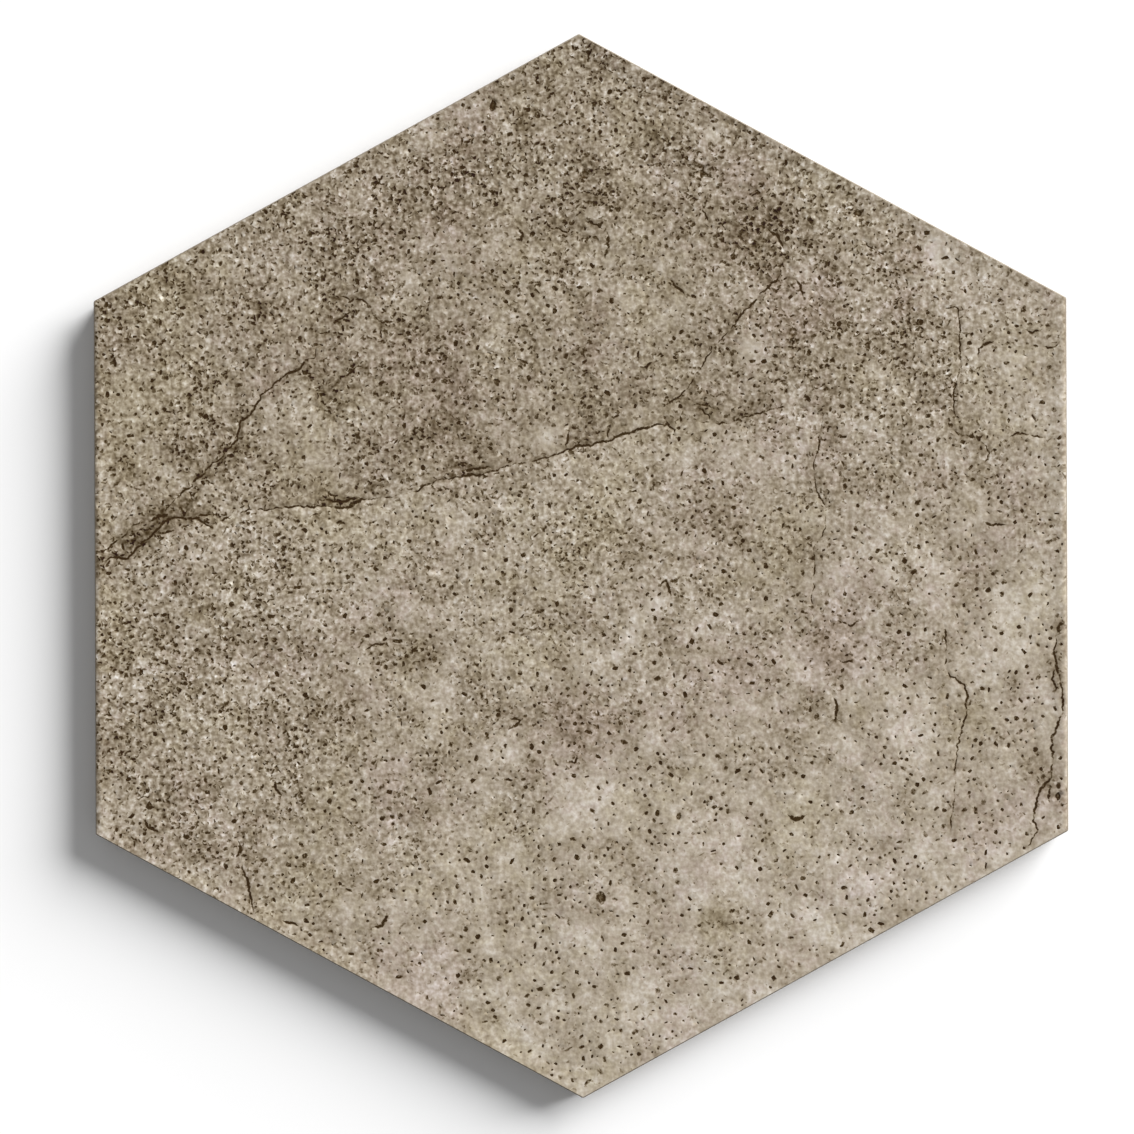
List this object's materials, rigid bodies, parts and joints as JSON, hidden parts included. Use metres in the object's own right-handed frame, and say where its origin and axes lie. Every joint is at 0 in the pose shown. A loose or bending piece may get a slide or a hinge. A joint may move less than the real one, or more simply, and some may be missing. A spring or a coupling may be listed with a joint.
{
  "type": "hexagonal tile",
  "caption": "Flat six-sided floor or wall tile with a matte stone-look face, ground edges and a keyed back.",
  "frame": {"origin": "centre of the back, on the ribs that the tile lies on", "axes": "+Z out of the face, +Y along the longest line, from the centre to a corner, and +X square to an upright side"},
  "size_m": [0.26, 0.2842, 0.009],
  "materials": {
    "fired_body": "matte"
  },
  "bodies": {
    "root": {"tile": "fired_body"}
  },
  "joints": []
}
